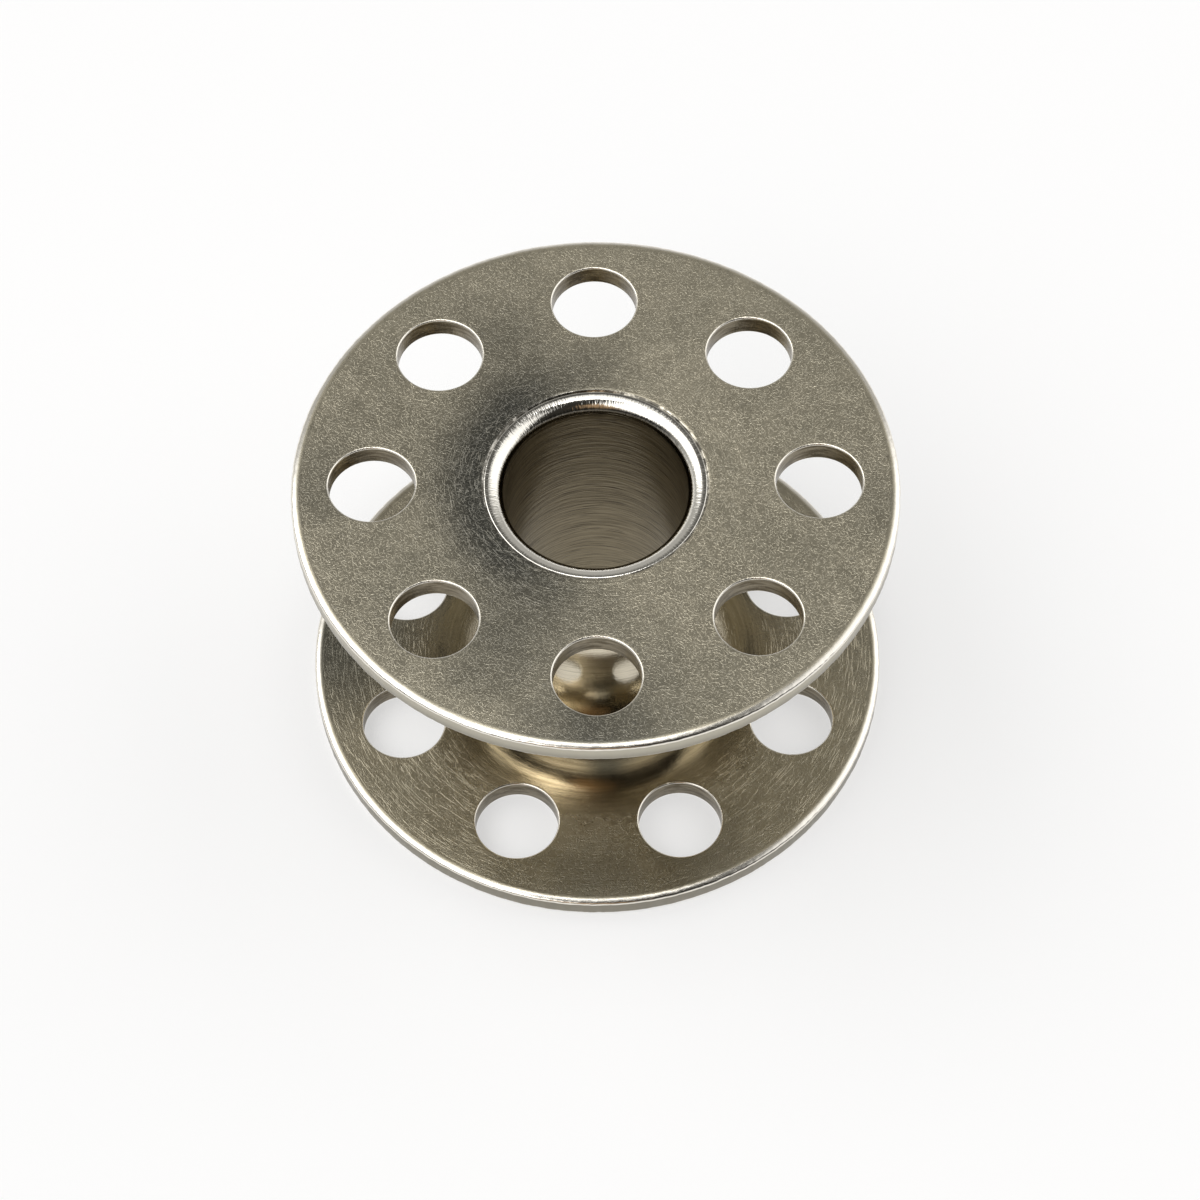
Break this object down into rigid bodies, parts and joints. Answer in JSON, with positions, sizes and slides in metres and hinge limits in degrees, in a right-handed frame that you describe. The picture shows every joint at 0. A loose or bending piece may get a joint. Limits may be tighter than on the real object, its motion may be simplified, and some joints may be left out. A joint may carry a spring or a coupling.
{
  "type": "sewing machine bobbin",
  "caption": "Metal thread bobbin for a sewing machine, with flat pierced round flanges at both ends of a short hollow hub that fits a spindle.",
  "frame": {"origin": "centre of the lower flange's outer face, on the axis, where the bobbin stands", "axes": "+Z along the spindle axis, from the lower flange to the upper one; +X through the middle of one hole in the upper flange"},
  "size_m": [0.0203, 0.0202, 0.0117],
  "materials": {
    "hub_nickel": "turned steel, nickel plated, polished by rolling at the flared ends",
    "flange_nickel": "stamped steel, tumbled and nickel plated, with fine curly and circular scratches"
  },
  "bodies": {
    "root": {"hub_tube": "hub_nickel", "upper_flange": "flange_nickel", "lower_flange": "flange_nickel"}
  },
  "joints": []
}
